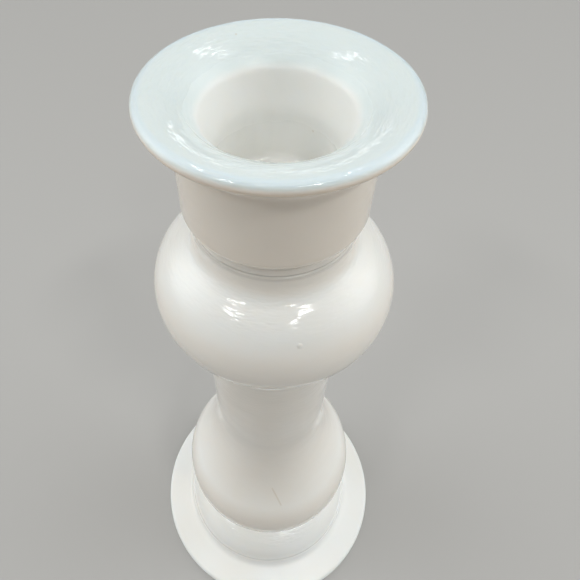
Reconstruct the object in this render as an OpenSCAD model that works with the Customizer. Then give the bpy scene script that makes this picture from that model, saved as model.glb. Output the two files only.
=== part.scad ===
// Glass candlestick: gathers of opaque white glass joined hot on one upright axis.
// Z is up, z = 0 is the table, millimetres. Every piece is turned about the Z axis.
// From the table up: foot, base_collar, stem, waist_ring, knop, neck_ring, socket.

/* [Foot] */
// Radius of the foot at its widest
foot_r = 44.2; // [42:0.1:46.5]
// Height of the foot, table to the crease under the collar
foot_h = 6.8; // [6.4:0.1:7.4]
// Rounding of the foot's rim, as the radius of the rounding
foot_rim = 1.7; // [1.2:0.1:2]
// Slope of the foot's top, from level
foot_slope = 17; // [14:0.5:18]
// How high the hollow under the foot rises above the table
foot_hollow = 2.6; // [1.5:0.1:3]

/* [Base collar] */
// Radius of the rounded collar at its widest
collar_r = 31.8; // [30:0.1:33]
// Rounding of the collar's side, as the radius of the rounding
collar_round = 11.8; // [11:0.1:12]
// Height of the collar
collar_h = 14.5; // [14.3:0.1:15]
// Softness of the crease between foot and collar, as the radius of its hollow rounding
crease_round = 3.2; // [2.4:0.1:3.6]

/* [Stem] */
// Radius of the baluster's belly at its widest
belly_r = 30; // [28:0.1:31]
// Rounding of the belly, as the radius of the rounding
belly_round = 23.7; // [22:0.1:25]
// Height of the belly's widest place above the stem's bottom face
belly_z = 24.3; // [24:0.1:27]
// Radius of the stem where it is slimmest
waist_r = 17.1; // [16:0.1:17.5]
// Sweep of the long hollow curve between the belly and the waist
waist_sweep = 60; // [50:1:68]
// Radius of the stem at its top
stem_top_r = 18.1; // [17.9:0.1:18.4]
// Height of the stem
stem_h = 110.5; // [104:0.1:118]

/* [Waist ring] */
// Radius of the lower joining ring
waist_ring_r = 17.3; // [17:0.1:17.4]
// Thickness of the lower joining ring
waist_ring_h = 2.4; // [2:0.1:3]

/* [Knop] */
// Radius of the hollow bulb at its widest
knop_r = 27.5; // [26.5:0.1:29]
// Rounding of the bulb's side, as the radius of the rounding
knop_round = 15.4; // [14.5:0.1:16]
// Height of the bulb's widest place above the bulb's bottom face
knop_z = 20.1; // [19.5:0.1:21]
// Height of the bulb, with its two short necks
knop_h = 40.2; // [39.4:0.1:41.5]

/* [Neck ring] */
// Radius of the upper joining ring
neck_ring_r = 16.9; // [16.5:0.1:17.1]
// Thickness of the upper joining ring
neck_ring_h = 2.8; // [2.2:0.1:3.6]

/* [Socket] */
// Radius of the turned-out lip
lip_r = 24.2; // [23:0.1:26]
// Rounding of the lip's edge, as the radius of the rounding
lip_edge = 1.44; // [1.2:0.02:1.8]
// Radius of the cup outside, under the lip
cup_r = 18.7; // [18.2:0.1:19.5]
// Rounding of the cup's bottom corner
cup_corner = 2.7; // [2.2:0.1:3.4]
// Height of the socket, joining face to the top of the lip
socket_h = 26; // [25:0.1:30]
// Radius of the straight bore that holds the candle
bore_r = 11.5; // [10.5:0.05:12]
// Thickness of the glass floor under the candle
floor_t = 1.8; // [1.5:0.1:3]
// Rounding of the lip's broad top, as the radius of the rounding
lip_top_round = 13; // [11:0.5:14]
// Rounding where the mouth turns down into the socket, as the radius of the rounding
throat_round = 2.4; // [2:0.1:3.2]
// Lean of the socket's tapered wall, from upright
taper = 15; // [12:1:20]

/* [Hidden] */
facets = 128;
glass_white = [0.93, 0.93, 0.90];
// hollow of the blown part
necking_r = 9;
belly_wall = 5;
knop_wall = 4.6;
collar_hollow_r = 14;
foot_hollow_r = 19;
rest_inner_r = 36;
rest_ease_r = 34;
hollow_edge_r = 30;
rest_ease_h = 1;
hollow_corner = 0.6;
knop_mouth_reach = 1;
// soft edges of the joining rings, and of the necks they sit on
ring_edge = 0.4;
neck_edge = 0.6;
// how far the waist stays upright before it flares to the stem's top
waist_run = 8;
// outside necks of the bulb and the stem
knop_top_neck_r = 17.1;
knop_bottom_neck_r = 17.3;
neck_fillet = 5;
stem_foot_r = 20.6;
stem_foot_fillet = 4;
lip_under = 8;
lip_tilt = 5;
mouth_slope = 50;
bore_lead = 11.8;
floor_round = 1.9;

collar_z0 = foot_h;
stem_z0 = collar_z0 + collar_h;
waist_ring_z0 = stem_z0 + stem_h;
knop_z0 = waist_ring_z0 + waist_ring_h;
neck_ring_z0 = knop_z0 + knop_h;
socket_z0 = neck_ring_z0 + neck_ring_h;

// points along a round stretch, centre c, radius r, from angle a to angle b
function arc(c, r, a, b, n) =
    [for (i = [0:n]) [c[0] + r * cos(a + (b - a) * i / n), c[1] + r * sin(a + (b - a) * i / n)]];

// one step from a centre towards the side that faces angle a
function facing(a) = [cos(a), sin(a)];

// height from a round side's centre to the centre of the fillet that joins it to an upright neck
function fillet_rise(side_c, side_round, neck, fillet) =
    sqrt(pow(side_round + fillet, 2) - pow(neck + fillet - side_c, 2));

// angle, seen from the round side's centre, at which that fillet touches
function touch(side_c, side_round, neck, fillet) =
    acos((neck + fillet - side_c) / (side_round + fillet));

// the outer side of a joining ring, from its bottom face to its top face
function ring_side(r, h) =
    concat(arc([r - ring_edge, ring_edge], ring_edge, -90, 0, 5),
           arc([r - ring_edge, h - ring_edge], ring_edge, 0, 90, 5));

module turned(z, outline) {
    translate([0, 0, z])
        rotate_extrude($fn = facets)
            polygon(outline);
}

// centre of the hollow rounding that joins the foot's slope to the collar's side
collar_side = [collar_r - collar_round, foot_h + collar_h - collar_round];
function crease_centre() =
    let (t = tan(foot_slope),
         touch_r = foot_r - foot_rim + foot_rim * sin(foot_slope),
         touch_z = foot_rim + foot_rim * cos(foot_slope),
         lift = touch_z + touch_r * t + crease_round / cos(foot_slope),
         drop = lift - collar_side[1],
         a = 1 + t * t,
         b = collar_side[0] + t * drop,
         c = pow(collar_side[0], 2) + drop * drop - pow(collar_round + crease_round, 2),
         r = (b + sqrt(b * b - a * c)) / a)
    [r, lift - t * r];
crease_c = crease_centre();
crease_cut = 180 + asin((crease_c[1] - foot_h) / crease_round);
crease_touch = atan2(crease_c[1] - collar_side[1], crease_c[0] - collar_side[0]);

module foot() {
    color(glass_white)
        turned(0, concat(
            [[rest_inner_r, 0]],
            arc([foot_r - foot_rim, foot_rim], foot_rim, -90, 90 - foot_slope, 14),
            arc(crease_c, crease_round, 270 - foot_slope, crease_cut, 5),
            [[foot_hollow_r, foot_h],
             [foot_hollow_r, foot_hollow + hollow_corner],
             [foot_hollow_r + hollow_corner, foot_hollow],
             [hollow_edge_r, foot_hollow],
             [rest_ease_r, rest_ease_h]]
        ));
}

module base_collar() {
    lower = [0, -foot_h];
    color(glass_white)
        turned(collar_z0, concat(
            arc(crease_c + lower, crease_round, crease_cut, 180 + crease_touch, 6),
            arc(collar_side + lower, collar_round, crease_touch, 90, 22),
            [[collar_hollow_r, collar_h],
             [foot_hollow_r, 0]]
        ));
}

module stem() {
    belly_c = belly_r - belly_round;
    low_z = belly_z - fillet_rise(belly_c, belly_round, stem_foot_r, stem_foot_fillet);
    low_a = touch(belly_c, belly_round, stem_foot_r, stem_foot_fillet);
    waist_z = belly_z + fillet_rise(belly_c, belly_round, waist_r, waist_sweep);
    waist_a = touch(belly_c, belly_round, waist_r, waist_sweep);
    // the long faint flare from the waist up to the stem's top
    flare_z = waist_z + waist_run;
    flare_h = stem_h - neck_edge - flare_z;
    flare_w = stem_top_r - waist_r;
    flare_round = (flare_h * flare_h + flare_w * flare_w) / (2 * flare_w);
    flare_a = asin(flare_h / flare_round);
    hollow_round = belly_round - belly_wall;
    hollow_a = touch(belly_c, hollow_round, necking_r, waist_sweep);
    hollow_z = belly_z + fillet_rise(belly_c, hollow_round, necking_r, waist_sweep);
    mouth_a = acos((collar_hollow_r - belly_c) / hollow_round);
    color(glass_white)
        turned(stem_z0, concat(
            [[stem_foot_r, 0]],
            arc([stem_foot_r + stem_foot_fillet, low_z], stem_foot_fillet, 180, 180 - low_a, 6),
            arc([belly_c, belly_z], belly_round, -low_a, waist_a, 40),
            arc([waist_r + waist_sweep, waist_z], waist_sweep, 180 + waist_a, 180, 20),
            arc([waist_r + flare_round, flare_z], flare_round, 180, 180 - flare_a, 6),
            arc([stem_top_r - neck_edge, stem_h - neck_edge], neck_edge, 0, 90, 6),
            [[necking_r, stem_h],
             [necking_r, hollow_z]],
            arc([necking_r + waist_sweep, hollow_z], waist_sweep, 180, 180 + hollow_a, 16),
            arc([belly_c, belly_z], hollow_round, hollow_a, -mouth_a, 24),
            [[collar_hollow_r, 0]]
        ));
}

module waist_ring() {
    color(glass_white)
        turned(waist_ring_z0, concat(
            ring_side(waist_ring_r, waist_ring_h),
            [[necking_r, waist_ring_h],
             [necking_r, 0]]
        ));
}

module knop() {
    side_c = knop_r - knop_round;
    low_z = knop_z - fillet_rise(side_c, knop_round, knop_bottom_neck_r, neck_fillet);
    low_a = touch(side_c, knop_round, knop_bottom_neck_r, neck_fillet);
    high_z = knop_z + fillet_rise(side_c, knop_round, knop_top_neck_r, neck_fillet);
    high_a = touch(side_c, knop_round, knop_top_neck_r, neck_fillet);
    hollow_round = knop_round - knop_wall;
    color(glass_white)
        turned(knop_z0, concat(
            [[knop_bottom_neck_r, 0]],
            arc([knop_bottom_neck_r + neck_fillet, low_z], neck_fillet, 180, 180 - low_a, 8),
            arc([side_c, knop_z], knop_round, -low_a, high_a, 44),
            arc([knop_top_neck_r + neck_fillet, high_z], neck_fillet, 180 + high_a, 180, 8),
            arc([knop_top_neck_r - neck_edge, knop_h - neck_edge], neck_edge, 0, 90, 6),
            [[necking_r, knop_h],
             [necking_r, knop_z + hollow_round + knop_mouth_reach]],
            arc([side_c, knop_z], hollow_round, 90, -90, 28),
            [[necking_r, knop_z - hollow_round - knop_mouth_reach],
             [necking_r, 0]]
        ));
}

module neck_ring() {
    color(glass_white)
        turned(neck_ring_z0, concat(
            [[0, 0]],
            ring_side(neck_ring_r, neck_ring_h),
            [[0, neck_ring_h]]
        ));
}

module socket() {
    lip_c = [lip_r - lip_edge, socket_h - lip_edge];
    under_z = lip_c[1] - fillet_rise(lip_c[0], lip_edge, cup_r, lip_under);
    under_a = touch(lip_c[0], lip_edge, cup_r, lip_under);
    // each rounding's centre lies on the line through the last one's centre and the point where they touch
    top_c = lip_c - (lip_top_round - lip_edge) * facing(90 + lip_tilt);
    throat_c = top_c + (lip_top_round - throat_round) * facing(90 + mouth_slope);
    throat_end = throat_c + throat_round * facing(180 - taper);
    lead_r = bore_r + bore_lead * (1 - cos(taper));
    wall_fall = (throat_end[0] - lead_r) / tan(taper);
    lead_c = [bore_r + bore_lead, throat_end[1] - wall_fall - bore_lead * sin(taper)];
    color(glass_white)
        turned(socket_z0, concat(
            [[0, 0]],
            arc([cup_r - cup_corner, cup_corner], cup_corner, -90, 0, 12),
            arc([cup_r + lip_under, under_z], lip_under, 180, 180 - under_a, 12),
            arc(lip_c, lip_edge, -under_a, 90 + lip_tilt, 16),
            arc(top_c, lip_top_round, 90 + lip_tilt, 90 + mouth_slope, 14),
            arc(throat_c, throat_round, 90 + mouth_slope, 180 - taper, 8),
            arc(lead_c, bore_lead, 180 - taper, 180, 8),
            arc([bore_r - floor_round, floor_t + floor_round], floor_round, 0, -90, 6),
            [[0, floor_t]]
        ));
}

foot();
base_collar();
stem();
waist_ring();
knop();
neck_ring();
socket();
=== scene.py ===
import math

import bpy
import numpy as np
from mathutils import Matrix, Vector, noise


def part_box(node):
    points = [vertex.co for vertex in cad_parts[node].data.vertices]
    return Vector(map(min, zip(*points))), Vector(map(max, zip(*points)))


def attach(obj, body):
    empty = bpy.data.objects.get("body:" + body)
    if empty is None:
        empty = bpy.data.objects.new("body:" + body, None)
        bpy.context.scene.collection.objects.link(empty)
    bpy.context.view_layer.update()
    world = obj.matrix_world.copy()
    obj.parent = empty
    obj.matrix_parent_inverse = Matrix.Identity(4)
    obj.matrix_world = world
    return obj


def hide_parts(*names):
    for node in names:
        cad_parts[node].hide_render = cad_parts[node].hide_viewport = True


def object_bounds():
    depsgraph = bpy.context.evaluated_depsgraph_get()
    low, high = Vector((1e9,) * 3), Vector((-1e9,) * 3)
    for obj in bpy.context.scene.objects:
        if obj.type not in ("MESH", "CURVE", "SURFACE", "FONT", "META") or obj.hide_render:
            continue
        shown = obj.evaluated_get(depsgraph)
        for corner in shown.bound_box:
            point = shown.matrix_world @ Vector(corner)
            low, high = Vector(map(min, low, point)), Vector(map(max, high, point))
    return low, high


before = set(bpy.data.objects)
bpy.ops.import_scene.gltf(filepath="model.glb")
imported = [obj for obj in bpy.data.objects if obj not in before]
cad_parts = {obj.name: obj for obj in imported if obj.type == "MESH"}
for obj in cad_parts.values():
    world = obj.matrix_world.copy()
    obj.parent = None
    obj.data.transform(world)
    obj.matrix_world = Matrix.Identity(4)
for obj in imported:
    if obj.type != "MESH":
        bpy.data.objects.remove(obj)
cad_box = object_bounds()

MM = 0.001
AROUND = 360  # points round each turned piece
FINE = 0.5  # spacing along what is seen, in mm
FINEST = 0.15  # spacing round the smallest edges, in mm
LONG = 0.75  # spacing along the stem's long sweeps, in mm
COARSE = 1.6  # spacing along what is hidden, in mm


# ---------------------------------------------------------------- sizes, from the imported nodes


def radius_of(node):
    """Widest radius of a node, in mm: its smallest half width, so the piece stays in the node's box."""
    low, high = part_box(node)
    return min(high[0], high[1], -low[0], -low[1]) / MM


def low_z(node):
    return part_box(node)[0][2] / MM


def high_z(node):
    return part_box(node)[1][2] / MM


# ---------------------------------------------------------------- outlines of the turned pieces


def arc(centre, r, start, end, step=FINE):
    """Points along a round stretch, angles in degrees."""
    n = max(3, math.ceil(abs(math.radians(end - start)) * r / step))
    angles = np.radians(np.linspace(start, end, n + 1))
    return [(centre[0] + r * math.cos(a), centre[1] + r * math.sin(a)) for a in angles]


def facing(angle):
    """The direction at an angle in degrees, from outward to upward."""
    return np.array((math.cos(math.radians(angle)), math.sin(math.radians(angle))))


def line(a, b, step=FINE):
    """Points along a straight stretch, without its two ends."""
    n = max(1, math.ceil(math.dist(a, b) / step))
    return [(a[0] + (b[0] - a[0]) * i / n, a[1] + (b[1] - a[1]) * i / n) for i in range(1, n)]


def fillet_rise(side_c, side_r, neck, fillet):
    """Height between a round side's centre and the centre of the fillet that joins it to an upright neck."""
    return math.sqrt((side_r + fillet) ** 2 - (neck + fillet - side_c) ** 2)


def touch(side_c, side_r, neck, fillet):
    """Angle, at the side's centre, where that fillet touches."""
    return math.degrees(math.acos((neck + fillet - side_c) / (side_r + fillet)))


def joined(*stretches):
    """One closed outline from its stretches, with straight runs filled in where they meet."""
    points = []
    for step, stretch in stretches:
        if points:
            points += line(points[-1], stretch[0], step)
        points += stretch
    kept = [points[0]]
    for p in points[1:]:
        if math.dist(p, kept[-1]) > 1e-4:
            kept.append(p)
    return kept


FOOT_R = radius_of("foot")
FOOT_TOP = high_z("foot")
FOOT_RIM = 1.7
FOOT_SLOPE = 17
FOOT_HOLLOW = 2.6
FOOT_HOLLOW_R = 19
HOLLOW_CORNER = 0.6
REST_INNER_R = 36
REST_EASE_R = REST_INNER_R - 2
HOLLOW_EDGE_R = REST_INNER_R - 6
REST_EASE = 1
COLLAR_R = radius_of("base_collar")
COLLAR_ROUND = 11.8
CREASE_ROUND = 3.2
COLLAR_TOP = high_z("base_collar")
COLLAR_HOLLOW_R = 14
BELLY_R = radius_of("stem")
BELLY_ROUND = 23.7
BELLY_Z = low_z("stem") + 24.3
BELLY_WALL = 5
STEM_FOOT_R = 20.6
STEM_FOOT_FILLET = 4
STEM_TOP = high_z("stem")
STEM_TOP_R = 18.1
WAIST_R = 17.1
WAIST_SWEEP = 60
WAIST_RUN = 8
RING_R = radius_of("waist_ring")
NECKING_R = 9
KNOP_R = radius_of("knop")
KNOP_ROUND = 15.4
KNOP_Z = low_z("knop") + 20.1
KNOP_TOP = high_z("knop")
KNOP_WALL = 4.6
KNOP_MOUTH_REACH = 1
KNOP_TOP_NECK_R = 17.1
KNOP_BOTTOM_NECK_R = 17.3
NECK_FILLET = 5
RING_EDGE = 0.4
NECK_EDGE = 0.6
NECK_RING_R = radius_of("neck_ring")
LIP_R = radius_of("socket")
LIP_EDGE = 1.44
LIP_UNDER = 8
CUP_R = 18.7
CUP_CORNER = 2.7
BORE_R = 11.5
LIP_Z = high_z("socket")
CUP_Z = low_z("socket")
FLOOR_T = 1.8
FLOOR_ROUND = 1.9
LIP_TILT = 5
LIP_TOP_ROUND = 13
MOUTH_SLOPE = 50
THROAT_ROUND = 2.4
TAPER = 15
BORE_LEAD = 11.8


def crease():
    """The rounding between foot and collar.

    Gives the centre of the collar's side, the centre of the rounding, and the angles where the rounding is
    cut by the joint and where it touches the collar's side.
    """
    side = (COLLAR_R - COLLAR_ROUND, COLLAR_TOP - COLLAR_ROUND)
    slope = math.radians(FOOT_SLOPE)
    t = math.tan(slope)
    touch_r = FOOT_R - FOOT_RIM + FOOT_RIM * math.sin(slope)
    touch_z = FOOT_RIM + FOOT_RIM * math.cos(slope)
    lift = touch_z + touch_r * t + CREASE_ROUND / math.cos(slope)
    drop = lift - side[1]
    a, b = 1 + t * t, side[0] + t * drop
    c = side[0] ** 2 + drop**2 - (COLLAR_ROUND + CREASE_ROUND) ** 2
    r = (b + math.sqrt(b * b - a * c)) / a
    centre = (r, lift - t * r)
    cut = 180 + math.degrees(math.asin((centre[1] - FOOT_TOP) / CREASE_ROUND))
    touching = math.degrees(math.atan2(centre[1] - side[1], centre[0] - side[0]))
    return side, centre, cut, touching


def foot_outline():
    _, centre, cut, _ = crease()
    return joined(
        (COARSE, [(REST_INNER_R, 0)]),
        (COARSE, arc((FOOT_R - FOOT_RIM, FOOT_RIM), FOOT_RIM, -90, 90 - FOOT_SLOPE, 0.3)),
        (FINE, arc(centre, CREASE_ROUND, 270 - FOOT_SLOPE, cut, 0.3)),
        (COARSE, [(FOOT_HOLLOW_R, FOOT_TOP), (FOOT_HOLLOW_R, FOOT_HOLLOW + HOLLOW_CORNER)]),
        (COARSE, [(FOOT_HOLLOW_R + HOLLOW_CORNER, FOOT_HOLLOW), (HOLLOW_EDGE_R, FOOT_HOLLOW)]),
        (COARSE, [(REST_EASE_R, REST_EASE)]),
    )


def collar_outline():
    side, centre, cut, touching = crease()
    return joined(
        (FINE, arc(centre, CREASE_ROUND, cut, 180 + touching, 0.3)),
        (FINE, arc(side, COLLAR_ROUND, touching, 90)),
        (COARSE, [(COLLAR_HOLLOW_R, COLLAR_TOP)]),
        (COARSE, [(FOOT_HOLLOW_R, FOOT_TOP)]),
    )


def stem_outline():
    base = low_z("stem")
    belly_c = (BELLY_R - BELLY_ROUND, BELLY_Z)
    low_a = touch(belly_c[0], BELLY_ROUND, STEM_FOOT_R, STEM_FOOT_FILLET)
    low_c = (
        STEM_FOOT_R + STEM_FOOT_FILLET,
        BELLY_Z - fillet_rise(belly_c[0], BELLY_ROUND, STEM_FOOT_R, STEM_FOOT_FILLET),
    )
    waist_a = touch(belly_c[0], BELLY_ROUND, WAIST_R, WAIST_SWEEP)
    waist_z = BELLY_Z + fillet_rise(belly_c[0], BELLY_ROUND, WAIST_R, WAIST_SWEEP)
    flare_z = waist_z + WAIST_RUN
    flare_h, flare_w = STEM_TOP - NECK_EDGE - flare_z, STEM_TOP_R - WAIST_R
    flare_round = (flare_h**2 + flare_w**2) / (2 * flare_w)
    flare_a = math.degrees(math.asin(flare_h / flare_round))
    hollow_round = BELLY_ROUND - BELLY_WALL
    hollow_a = touch(belly_c[0], hollow_round, NECKING_R, WAIST_SWEEP)
    hollow_z = BELLY_Z + fillet_rise(belly_c[0], hollow_round, NECKING_R, WAIST_SWEEP)
    mouth_a = math.degrees(math.acos((COLLAR_HOLLOW_R - belly_c[0]) / hollow_round))
    return joined(
        (FINE, [(STEM_FOOT_R, base)]),
        (FINE, arc(low_c, STEM_FOOT_FILLET, 180, 180 - low_a)),
        (FINE, arc(belly_c, BELLY_ROUND, -low_a, waist_a, LONG)),
        (FINE, arc((WAIST_R + WAIST_SWEEP, waist_z), WAIST_SWEEP, 180 + waist_a, 180, LONG)),
        (FINE, arc((WAIST_R + flare_round, flare_z), flare_round, 180, 180 - flare_a, LONG)),
        (FINE, arc((STEM_TOP_R - NECK_EDGE, STEM_TOP - NECK_EDGE), NECK_EDGE, 0, 90, FINEST)),
        (COARSE, [(NECKING_R, STEM_TOP), (NECKING_R, hollow_z)]),
        (COARSE, arc((NECKING_R + WAIST_SWEEP, hollow_z), WAIST_SWEEP, 180, 180 + hollow_a, 2.5)),
        (COARSE, arc(belly_c, hollow_round, hollow_a, -mouth_a, 2.5)),
        (COARSE, [(COLLAR_HOLLOW_R, base)]),
    )


def ring_outline(node, r, inner_r):
    base, top = low_z(node), high_z(node)
    return joined(
        (FINE, arc((r - RING_EDGE, base + RING_EDGE), RING_EDGE, -90, 0, FINEST)),
        (FINE, arc((r - RING_EDGE, top - RING_EDGE), RING_EDGE, 0, 90, FINEST)),
        (COARSE, [(inner_r, top), (inner_r, base)]),
    )


def knop_outline():
    base, top = low_z("knop"), high_z("knop")
    side_c = KNOP_R - KNOP_ROUND
    low_rise = fillet_rise(side_c, KNOP_ROUND, KNOP_BOTTOM_NECK_R, NECK_FILLET)
    low_a = touch(side_c, KNOP_ROUND, KNOP_BOTTOM_NECK_R, NECK_FILLET)
    high_rise = fillet_rise(side_c, KNOP_ROUND, KNOP_TOP_NECK_R, NECK_FILLET)
    high_a = touch(side_c, KNOP_ROUND, KNOP_TOP_NECK_R, NECK_FILLET)
    hollow_round = KNOP_ROUND - KNOP_WALL
    low_c = (KNOP_BOTTOM_NECK_R + NECK_FILLET, KNOP_Z - low_rise)
    high_c = (KNOP_TOP_NECK_R + NECK_FILLET, KNOP_Z + high_rise)
    return joined(
        (FINE, [(KNOP_BOTTOM_NECK_R, base)]),
        (FINE, arc(low_c, NECK_FILLET, 180, 180 - low_a, 0.4)),
        (FINE, arc((side_c, KNOP_Z), KNOP_ROUND, -low_a, high_a)),
        (FINE, arc(high_c, NECK_FILLET, 180 + high_a, 180, 0.4)),
        (FINE, arc((KNOP_TOP_NECK_R - NECK_EDGE, top - NECK_EDGE), NECK_EDGE, 0, 90, FINEST)),
        (COARSE, [(NECKING_R, top), (NECKING_R, KNOP_Z + hollow_round + KNOP_MOUTH_REACH)]),
        (COARSE, arc((side_c, KNOP_Z), hollow_round, 90, -90, 2)),
        (COARSE, [(NECKING_R, KNOP_Z - hollow_round - KNOP_MOUTH_REACH), (NECKING_R, base)]),
    )


def socket_outline():
    base, top = low_z("socket"), high_z("socket")
    lip_c = np.array((LIP_R - LIP_EDGE, top - LIP_EDGE))
    under_z = lip_c[1] - fillet_rise(lip_c[0], LIP_EDGE, CUP_R, LIP_UNDER)
    under_a = touch(lip_c[0], LIP_EDGE, CUP_R, LIP_UNDER)
    top_c = lip_c - (LIP_TOP_ROUND - LIP_EDGE) * facing(90 + LIP_TILT)
    throat_c = top_c + (LIP_TOP_ROUND - THROAT_ROUND) * facing(90 + MOUTH_SLOPE)
    throat_end = throat_c + THROAT_ROUND * facing(180 - TAPER)
    lean = math.radians(TAPER)
    lead_r = BORE_R + BORE_LEAD * (1 - math.cos(lean))
    wall_fall = (throat_end[0] - lead_r) / math.tan(lean)
    lead_c = (BORE_R + BORE_LEAD, throat_end[1] - wall_fall - BORE_LEAD * math.sin(lean))
    floor_z = base + FLOOR_T
    return joined(
        (COARSE, [(0, base)]),
        (COARSE, arc((CUP_R - CUP_CORNER, base + CUP_CORNER), CUP_CORNER, -90, 0, 0.4)),
        (FINE, arc((CUP_R + LIP_UNDER, under_z), LIP_UNDER, 180, 180 - under_a, 0.4)),
        (FINE, arc(lip_c, LIP_EDGE, -under_a, 90 + LIP_TILT, 0.25)),
        (FINE, arc(top_c, LIP_TOP_ROUND, 90 + LIP_TILT, 90 + MOUTH_SLOPE, 0.4)),
        (FINE, arc(throat_c, THROAT_ROUND, 90 + MOUTH_SLOPE, 180 - TAPER, 0.4)),
        (FINE, arc(lead_c, BORE_LEAD, 180 - TAPER, 180, 0.5)),
        (0.7, arc((BORE_R - FLOOR_ROUND, floor_z + FLOOR_ROUND), FLOOR_ROUND, 0, -90, 0.3)),
        (0.7, [(0, floor_z)]),
    )


# ---------------------------------------------------------------- turned glass

SUNK = 0.13  # how far the uneven surface is drawn in, so it stays inside the CAD's box, in mm
CALM = 1.5  # how close to a level face the unevenness dies out, in mm
SHARP_EDGE = 38  # degrees


def waves(x, y, z):
    """Unevenness of hand-made glass at a point, in mm: a long lazy swell and ripples that run round."""
    r = math.hypot(x, y)
    swell = noise.noise((x * 0.045, y * 0.045, z * 0.03))
    lazy = noise.noise((x * 0.16 + 7, y * 0.16, z * 0.2))
    tool = noise.noise((x * 0.22, y * 0.22 + 3, z * 0.65 + r * 0.2))
    return 0.10 * swell + 0.035 * lazy + 0.014 * tool


def smooth(value, low, high):
    """0 at low and 1 at high, easing in and out."""
    t = min(1.0, max(0.0, (value - low) / (high - low)))
    return t * t * (3 - 2 * t)


def thinness(r, z, facing_up):
    """How thin the glass looks: 0.5 over the lip's dish, more at its edge, a little on the foot's rim."""
    at_lip = smooth(z, LIP_Z - 7, LIP_Z - 3)
    dish = 0.5 * smooth(r, 12.2, 15) * at_lip * smooth(facing_up, 0.2, 0.55)
    edge = 0.27 * smooth(r, LIP_R - 2.4, LIP_R - 1.2) * at_lip * smooth(facing_up, 0.45, 0.85)
    rim = 0.2 * smooth(r, FOOT_R - 3, FOOT_R) * (1 - smooth(z, 2, 6))
    return max(dish + edge, rim)


def painted_warm_shade(r, z, facing_up):
    """Painted warm shade, standing in for shade and for light come through the glass: most on the lip's turn
    and the cup under the lip, less on upright and downward walls.
    """
    outside = smooth(r, 16.2, 16.8)
    under_lip = smooth(z, LIP_Z - 16, LIP_Z - 5) * (1 - smooth(facing_up, -0.5, 0.2))
    cup = smooth(z, CUP_Z - 6, CUP_Z + 2) * (1 - smooth(facing_up, 0.0, 0.4))
    at_lip = smooth(r, LIP_R - 2, LIP_R - 0.6) * smooth(z, LIP_Z - 4, LIP_Z - 2)
    lip_turn = at_lip * (1 - smooth(facing_up, -0.3, 0.7))
    upright = 1 - smooth(abs(facing_up), 0.25, 0.7)
    below = smooth(-facing_up, 0.0, 0.8)
    above_foot = smooth(z, COLLAR_TOP, COLLAR_TOP + 3)
    # how much painted warm shade each place gets
    painted_shade_amount = max(0.52 * cup + 0.2 * under_lip * cup, 0.85 * lip_turn, 0.3 * upright, 0.25 * below)
    return above_foot * outside * painted_shade_amount


def tooling(r, z, facing_up):
    """Where tools left ripples in the soft glass: round the necks, on the lip and the collar's top."""
    shoulder = smooth(z, KNOP_Z + 8, KNOP_Z + 12) * (1 - smooth(z, CUP_Z, CUP_Z + 3))
    waist = smooth(z, STEM_TOP - 22, STEM_TOP - 14) * (1 - smooth(z, STEM_TOP + 3, STEM_TOP + 7))
    lip = smooth(z, LIP_Z - 5, LIP_Z - 2)
    collar = smooth(z, COLLAR_TOP - 6, COLLAR_TOP - 2) * (1 - smooth(z, COLLAR_TOP + 1, COLLAR_TOP + 4))
    return 0.07 + 0.93 * max(0.75 * shoulder, 0.35 * waist, 1.2 * lip, 1.4 * collar)


def pinch(r, z, facing_up):
    """1 on the ledge where the knop's neck is pinched in, fading out up the ring: the material paints shade
    there and dulls the polish.
    """
    ledge = smooth(z, KNOP_TOP - 1.2, KNOP_TOP - 0.6)
    up_ring = 0.8 * smooth(z, KNOP_TOP, KNOP_TOP + 0.6) + 0.2 * smooth(z, CUP_Z - 0.5, CUP_Z)
    return ledge * (1 - up_ring)


def satin(r, z, facing_up):
    """Where the glass has little polish: the worn foot, the mouth's throat and the pinch under the cup."""
    foot = 1 - smooth(z, FOOT_TOP - 1, FOOT_TOP + 2)
    throat = smooth(z, CUP_Z + 8, CUP_Z + 12) * (1 - smooth(r, 15, 17))
    return max(foot, 0.8 * throat, 0.8 * pinch(r, z, facing_up))


# values kept at every point of a turned piece, which the material reads: glow is painted warm shade, pinch is
# painted shade on the neck ledge and a duller polish there
LOOKS = {"thin": thinness, "glow": painted_warm_shade, "tooled": tooling, "satin": satin, "pinch": pinch}


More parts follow.
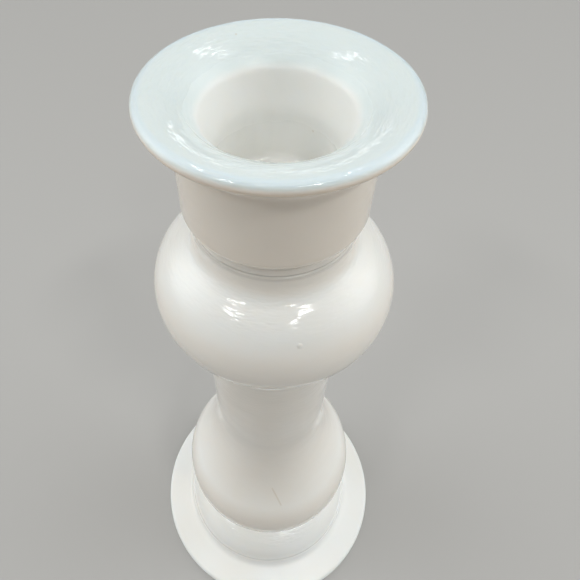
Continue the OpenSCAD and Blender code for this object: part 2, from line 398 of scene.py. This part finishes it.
def turned(name, outline, flat_z=()):
    """A closed turned piece with the glass's unevenness, which dies out near the level faces at flat_z."""
    outline = np.array(outline)
    on_axis = outline[:, 0] < 1e-6
    angles = np.arange(AROUND) * 2 * math.pi / AROUND
    verts, rings = [], []
    looks = {label: [] for label in LOOKS}
    following = np.roll(outline, -1, axis=0) - outline
    before = outline - np.roll(outline, 1, axis=0)
    for i, (r, z) in enumerate(outline):
        if on_axis[i]:
            rings.append([len(verts)])
            verts.append((0, 0, z))
            for values in looks.values():
                values.append(0.0)
            continue
        along = following[i] / np.hypot(*following[i]) + before[i] / np.hypot(*before[i])
        along /= max(np.hypot(*along), 1e-9)
        out_r, out_z = along[1], -along[0]
        for label, look in LOOKS.items():
            looks[label] += [look(r, z, out_z)] * AROUND
        calm = 1.0
        for level in flat_z:
            calm *= min(1.0, abs(z - level) / CALM)
        rings.append(list(range(len(verts), len(verts) + AROUND)))
        for a in angles:
            c, s = math.cos(a), math.sin(a)
            d = 0.0
            if calm > 0:
                d = calm * (waves(r * c, r * s, z) - SUNK)
            verts.append(((r + out_r * d) * c, (r + out_r * d) * s, z + out_z * d))
    faces = []
    for i in range(len(rings)):
        a, b = rings[i], rings[(i + 1) % len(rings)]
        if len(a) == 1 and len(b) == 1:
            continue
        for k in range(AROUND):
            n = (k + 1) % AROUND
            if len(a) == 1:
                faces.append((a[0], b[n], b[k]))
            elif len(b) == 1:
                faces.append((a[k], a[n], b[0]))
            else:
                faces.append((a[k], a[n], b[n], b[k]))
    mesh = bpy.data.meshes.new(name)
    mesh.from_pydata([Vector(v) * MM for v in verts], [], faces)
    mesh.update()
    for label, values in looks.items():
        mesh.attributes.new(label, "FLOAT", "POINT").data.foreach_set("value", values)
    for p in mesh.polygons:
        p.use_smooth = True
    mesh.set_sharp_from_angle(angle=math.radians(SHARP_EDGE))
    obj = bpy.data.objects.new(name, mesh)
    bpy.context.scene.collection.objects.link(obj)
    return obj


# ---------------------------------------------------------------- material


class Net:
    """Short ways to add and wire nodes in one shader tree."""

    def __init__(self, tree):
        self.tree = tree

    def add(self, kind, settings=(), **inputs):
        n = self.tree.nodes.new("ShaderNode" + kind)
        for key, value in dict(settings).items():
            setattr(n, key, value)
        for key, value in inputs.items():
            key = key.replace("_", " ")
            socket = n.inputs[int(key)] if key.isdigit() else n.inputs[key]
            self.put(value, socket)
        return n

    def put(self, value, socket):
        if isinstance(value, bpy.types.NodeSocket):
            self.tree.links.new(value, socket)
        else:
            socket.default_value = value

    def math(self, operation, a, b=0.0):
        n = self.add("Math", {"operation": operation})
        self.put(a, n.inputs[0])
        self.put(b, n.inputs[1])
        return n.outputs[0]

    def noise(self, place, scale, detail=2.0, stretch=(1, 1, 1)):
        moved = self.add("Mapping", Vector=place, Scale=stretch)
        return self.add("TexNoise", Vector=moved.outputs[0], Scale=scale, Detail=detail).outputs["Fac"]

    def round_noise(self, place, around, along, detail=2.0):
        """Noise drawn out round the upright axis: cells per metre round the piece, and along its outline."""
        moved = self.add("Mapping", Vector=place, Scale=(around, around, along))
        flat = self.add("Mapping", Vector=place, Scale=(along, along, 0))
        out = self.vector("LENGTH", flat.outputs[0], out="Value")
        n = self.add("TexNoise", {"noise_dimensions": "4D"}, Vector=moved.outputs[0], W=out, Scale=1.0)
        n.inputs["Detail"].default_value = detail
        return n.outputs["Fac"]

    def ramp(self, factor, low, high):
        """0 below low and 1 above high, smoothly."""
        n = self.add("MapRange", {"interpolation_type": "SMOOTHSTEP"}, Value=factor)
        n.inputs["From Min"].default_value = low
        n.inputs["From Max"].default_value = high
        return n.outputs[0]

    def attribute(self, label):
        return self.add("Attribute", {"attribute_name": label}).outputs["Fac"]

    def vector(self, operation, a, b=None, out="Vector"):
        n = self.add("VectorMath", {"operation": operation})
        self.put(a, n.inputs[0])
        if b is not None:
            self.put(b, n.inputs["Scale"] if operation == "SCALE" else n.inputs[1])
        return n.outputs[out]

    def streak(self, place, start, end, width):
        """1 on the straight streak from start to end, all in mm, and 0 further than its width."""
        a, b = Vector(start) * MM, Vector(end) * MM
        from_a = self.vector("SUBTRACT", place, a)
        share = self.vector("DOT_PRODUCT", from_a, (b - a) / max((b - a).length_squared, 1e-12), "Value")
        share = self.math("MINIMUM", self.math("MAXIMUM", share, 0.0), 1.0)
        foot = self.vector("SCALE", b - a, share)
        away = self.vector("DISTANCE", from_a, foot, "Value")
        return self.math("SUBTRACT", 1.0, self.ramp(away, 0.2 * width * MM, width * MM))

    def mix(self, factor, a, b):
        n = self.add("Mix", {"data_type": "RGBA"})
        self.put(factor, n.inputs["Factor"])
        self.put(a, n.inputs[6])
        self.put(b, n.inputs[7])
        return n.outputs[2]


IOR = 1.5
CLOUDED = 0.5  # share of the light that goes into the glass and is scattered back
SCATTER = (1.0, 0.88, 0.76)
SCATTER_REACH = 0.3 * MM
POLISH = 0.07  # roughness of fire polished glass
DULLER = 0.06  # added between the swells
WORN = 0.28  # added where the look "satin" is 1
SKIN_DEPTH = 0.14 * MM

# cells of each noise per metre
CLOUD_CELLS = 24
STRING_CELLS = 60
PATCH_CELLS = 110
DULL_CELLS = 140
WORKED_CELLS = 90
PEEL_CELLS = 900
RIPPLE_CELLS = (420, 1500)  # round the piece, and along its outline

# small flaws, placed in mm
THREAD = ((1.4, -21.6, 66.6), (4.6, -25.0, 59.5))  # the two ends, on the front of the belly
THREAD_WIDTH = 0.4
SPECKS = ((7.0, 9.3, 187.6), (-8.0, 18.0, 202.4))  # in the socket, and on the far lip
SPECK_WIDTH = 0.35
PIMPLE = (5.4, -24.1, 162.8)  # on the front of the knop
PIMPLE_WIDTH = 0.7

WHITE_WARM = (0.83, 0.825, 0.79, 1)
WHITE_COOL = (0.845, 0.862, 0.85, 1)
WHITE_STRING = (0.76, 0.745, 0.70, 1)
THIN_PALE = (0.715, 0.785, 0.785, 1)
THIN_BLUE = (0.66, 0.77, 0.835, 1)
# painted shade, warm: the colour laid on the cup, the lip's turn and upright and downward walls
PAINTED_SHADE_WARM = (0.78, 0.66, 0.53, 1)
# painted shade for the groove on the ledge under the cup
PINCH_PAINTED_SHADE = (0.6, 0.575, 0.53, 1)
FLAW_TAN = (0.55, 0.45, 0.31, 1)


def milk_glass():
    """Opaque white glass: cloudy, tinted where it is thin, with painted warm shade where it faces down or
    sideways and painted shade on the neck ledge, rippled where it was tooled.
    """
    mat = bpy.data.materials.new("milk_glass")
    mat.use_nodes = True
    net = Net(mat.node_tree)
    shader = mat.node_tree.nodes["Principled BSDF"]
    shader.inputs["IOR"].default_value = IOR
    shader.inputs["Subsurface Weight"].default_value = CLOUDED
    shader.inputs["Subsurface Radius"].default_value = SCATTER
    shader.inputs["Subsurface Scale"].default_value = SCATTER_REACH
    place = net.add("TexCoord").outputs["Object"]

    # cloudy white, warmer and cooler by turns, with faint strings of thicker glass
    cloud = net.ramp(net.noise(place, CLOUD_CELLS, 4), 0.32, 0.68)
    strings = net.ramp(net.noise(place, STRING_CELLS, 3, (1, 1, 0.25)), 0.45, 0.75)
    white = net.mix(cloud, WHITE_WARM, WHITE_COOL)
    white = net.mix(net.math("MULTIPLY", strings, 0.12), white, WHITE_STRING)

    # the tint where the glass is thin, and painted shade: warm on the cup, under the lip and on upright and
    # downward walls, grey on the ledge under the cup; all from how each piece is turned
    thin, glow = net.attribute("thin"), net.attribute("glow")
    patchy = net.math("ADD", 0.75, net.math("MULTIPLY", net.noise(place, PATCH_CELLS, 2), 0.5))
    tinted = net.mix(net.math("MULTIPLY", net.ramp(thin, 0.0, 0.5), patchy), white, THIN_PALE)
    tinted = net.mix(net.math("MULTIPLY", net.ramp(thin, 0.5, 1.0), patchy), tinted, THIN_BLUE)
    # painted warm shade from the glow look, standing in for shade under the lip and on walls facing down or
    # sideways
    tinted = net.mix(glow, tinted, PAINTED_SHADE_WARM)
    # painted shade darkening the ledge where the knop's neck is pinched in
    tinted = net.mix(net.math("MULTIPLY", net.attribute("pinch"), 0.8), tinted, PINCH_PAINTED_SHADE)

    # small flaws in the batch: a tan thread and two specks
    thread = net.streak(place, *THREAD, THREAD_WIDTH)
    tinted = net.mix(net.math("MULTIPLY", thread, 0.3), tinted, FLAW_TAN)
    for speck in SPECKS:
        dot = net.streak(place, speck, speck, SPECK_WIDTH)
        tinted = net.mix(net.math("MULTIPLY", dot, 0.35), tinted, FLAW_TAN)
    net.put(tinted, shader.inputs["Base Color"])

    # fire polish is glossiest on the swells, a little duller between them, and worn in places
    dull = net.ramp(net.noise(place, DULL_CELLS, 3, (1, 1, 2.5)), 0.35, 0.7)
    worn = net.math("MULTIPLY", net.attribute("satin"), WORN)
    polish = net.math("ADD", POLISH, net.math("MULTIPLY", dull, DULLER))
    net.put(net.math("ADD", polish, worn), shader.inputs["Roughness"])

    # short ripples that run round the piece where it was tooled, a fine orange peel, and one small pimple
    ripple = net.round_noise(place, *RIPPLE_CELLS, 1.0)
    where = net.ramp(net.noise(place, WORKED_CELLS, 1), 0.3, 0.65)
    uneven = net.math("ADD", 0.4, net.math("MULTIPLY", where, 0.6))
    strength = net.math("MULTIPLY", net.attribute("tooled"), uneven)
    peel = net.math("MULTIPLY", net.noise(place, PEEL_CELLS, 2), 0.05)
    pimple = net.streak(place, PIMPLE, PIMPLE, PIMPLE_WIDTH)
    height = net.math("ADD", net.math("MULTIPLY", ripple, strength), net.math("ADD", peel, pimple))
    skin = net.add("Bump", Height=height, Strength=1.0, Distance=SKIN_DEPTH)
    net.put(skin.outputs[0], shader.inputs["Normal"])
    return mat


glass = milk_glass()

# each piece's outline, and the heights of its level faces
OUTLINES = {
    "foot": (foot_outline(), (0, FOOT_TOP)),
    "base_collar": (collar_outline(), (FOOT_TOP, COLLAR_TOP)),
    "stem": (stem_outline(), (COLLAR_TOP, STEM_TOP)),
    "waist_ring": (ring_outline("waist_ring", RING_R, NECKING_R), ()),
    "knop": (knop_outline(), (low_z("knop"), KNOP_TOP)),
    "neck_ring": (ring_outline("neck_ring", NECK_RING_R, 0), ()),
    "socket": (socket_outline(), (CUP_Z,)),
}
for node_name, (outline, levels) in OUTLINES.items():
    piece = turned("glass_" + node_name, outline, levels)
    piece.data.materials.append(glass)
    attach(piece, "root")
    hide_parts(node_name)


# ---------------------------------------------------------------- floor, lights, camera

FLOOR_REACH = 6.0
FLOOR_GREY = (0.44, 0.436, 0.426)


def plain(name, colour, roughness):
    mat = bpy.data.materials.new(name)
    mat.use_nodes = True
    shader = mat.node_tree.nodes["Principled BSDF"]
    shader.inputs["Base Color"].default_value = (*colour, 1)
    shader.inputs["Roughness"].default_value = roughness
    return mat


floor_mesh = bpy.data.meshes.new("floor")
floor_corners = [(x * FLOOR_REACH, y * FLOOR_REACH, 0) for x, y in ((-1, -1), (1, -1), (1, 1), (-1, 1))]
floor_mesh.from_pydata(floor_corners, [], [(0, 1, 2, 3)])
floor = bpy.data.objects.new("floor", floor_mesh)
bpy.context.scene.collection.objects.link(floor)
floor.data.materials.append(plain("floor_paint", FLOOR_GREY, 0.7))

DOME_STRENGTH = 1.0
DOME_LOW = 0.03
DOME_TOP = (0, 0.05, 1)
DOME_TOP_FOCUS = 5.0
DOME_OVERHEAD = 0.56
DOME_SIDE = (0.87, 0.12, 0.42)
DOME_SIDE_FOCUS = 8.0
DOME_SIDES = 3.05
DOME_WARM = (1.0, 0.9, 0.78, 1)
DOME_COOL = (0.98, 1.0, 1.0, 1)


def studio_light():
    """A soft dome of light, brightest overhead and to either side, dim in front and behind."""
    world = bpy.data.worlds.new("studio")
    world.use_nodes = True
    background = world.node_tree.nodes["Background"]
    background.inputs["Strength"].default_value = DOME_STRENGTH
    net = Net(world.node_tree)
    way = net.add("TexCoord").outputs["Generated"]
    split = net.add("SeparateXYZ", Vector=way).outputs
    folded = net.add("SeparateXYZ", Vector=net.vector("ABSOLUTE", way)).outputs
    mirrored = net.add("CombineXYZ", X=folded["X"], Y=split["Y"], Z=split["Z"]).outputs[0]

    def glow(place, centre, focus):
        towards = net.vector("DOT_PRODUCT", place, Vector(centre).normalized(), "Value")
        return net.math("POWER", net.math("MAXIMUM", towards, 0.0), focus)

    sides = net.math("MULTIPLY", glow(mirrored, DOME_SIDE, DOME_SIDE_FOCUS), DOME_SIDES)
    overhead = net.math("MULTIPLY", glow(way, DOME_TOP, DOME_TOP_FOCUS), DOME_OVERHEAD)
    amount = net.math("ADD", DOME_LOW, net.math("ADD", overhead, sides))
    colour = net.mix(net.ramp(amount, 0.1, 0.9), DOME_WARM, DOME_COOL)
    net.put(net.vector("SCALE", colour, amount), background.inputs["Color"])
    return world


bpy.context.scene.world = studio_light()

LAMP_FAR = 1.6
NEUTRAL = (1.0, 1.0, 1.0)
WARMER = (1.0, 1.0, 0.99)
WARMEST = (1.0, 1.0, 0.98)
COOLER = (0.98, 1.0, 1.0)


def lamp(name, way, width, height, watts, colour, along=(1, 0, 0)):
    """A rectangular lamp LAMP_FAR from the knop, in the direction way, facing it, its width running along."""
    light = bpy.data.lights.new(name, "AREA")
    light.shape = "RECTANGLE"
    light.size, light.size_y = width, height
    light.energy = watts
    light.color = colour
    knop = Vector((0, 0, KNOP_Z * MM))
    back = Vector(way).normalized()
    upward = back.cross(Vector(along)).normalized()
    turn = Matrix((upward.cross(back), upward, back)).transposed().to_4x4()
    obj = bpy.data.objects.new(name, light)
    bpy.context.scene.collection.objects.link(obj)
    obj.matrix_world = Matrix.Translation(knop + back * LAMP_FAR) @ turn


lamp("key_left", (-0.49, -0.46, 0.74), 0.3, 0.1, 2.7, WARMER, (0.7, -0.7, 0))
lamp("key_right", (0.38, -0.44, 0.81), 0.3, 0.1, 3.7, WARMEST, (0.7, 0.7, 0))
lamp("spot", (0.26, -0.65, 0.71), 0.14, 0.14, 1.3, NEUTRAL)
lamp("overhead", (0.0, -0.30, 0.95), 0.9, 0.05, 1.3, COOLER)
lamp("behind_left", (-0.37, 0.34, 0.86), 0.8, 0.05, 1.5, COOLER, (0.3, 0.95, 0))
lamp("behind_right", (0.34, 0.34, 0.87), 0.8, 0.05, 1.5, COOLER, (-0.3, 0.95, 0))
lamp("back", (0.0, 0.95, 0.25), 0.4, 0.12, 0.4, COOLER)

CAMERA_UNIT = 24 * MM  # about the lip's radius
CAMERA_BACK = 3.195 * CAMERA_UNIT
CAMERA_ABOVE_LIP = 1.983 * CAMERA_UNIT
CAMERA_PITCH, CAMERA_YAW, CAMERA_ROLL = 50.52, -2.0, -0.09  # degrees
SENSOR = 36  # mm
LENS = 32.897  # mm
SHIFT = (0.04862, -0.04379)  # in widths of the frame
CLIP_START = 5 * MM

camera = bpy.data.objects.new("camera", bpy.data.cameras.new("camera"))
bpy.context.scene.collection.objects.link(camera)
pitch, yaw, roll = (math.radians(a) for a in (CAMERA_PITCH, CAMERA_YAW, CAMERA_ROLL))
forward = Vector((math.sin(yaw) * math.cos(pitch), math.cos(yaw) * math.cos(pitch), -math.sin(pitch)))
right = forward.cross(Vector((0, 0, 1))).normalized()
up = right.cross(forward)
right, up = right * math.cos(roll) + up * math.sin(roll), -right * math.sin(roll) + up * math.cos(roll)
view = Matrix((right, up, -forward)).transposed().to_4x4()
camera.matrix_world = Matrix.Translation((0, -CAMERA_BACK, cad_box[1][2] + CAMERA_ABOVE_LIP)) @ view
camera.data.sensor_width = SENSOR
camera.data.lens = LENS
camera.data.shift_x, camera.data.shift_y = SHIFT
camera.data.clip_start = CLIP_START
bpy.context.scene.camera = camera
bpy.context.scene.view_settings.view_transform = "Standard"
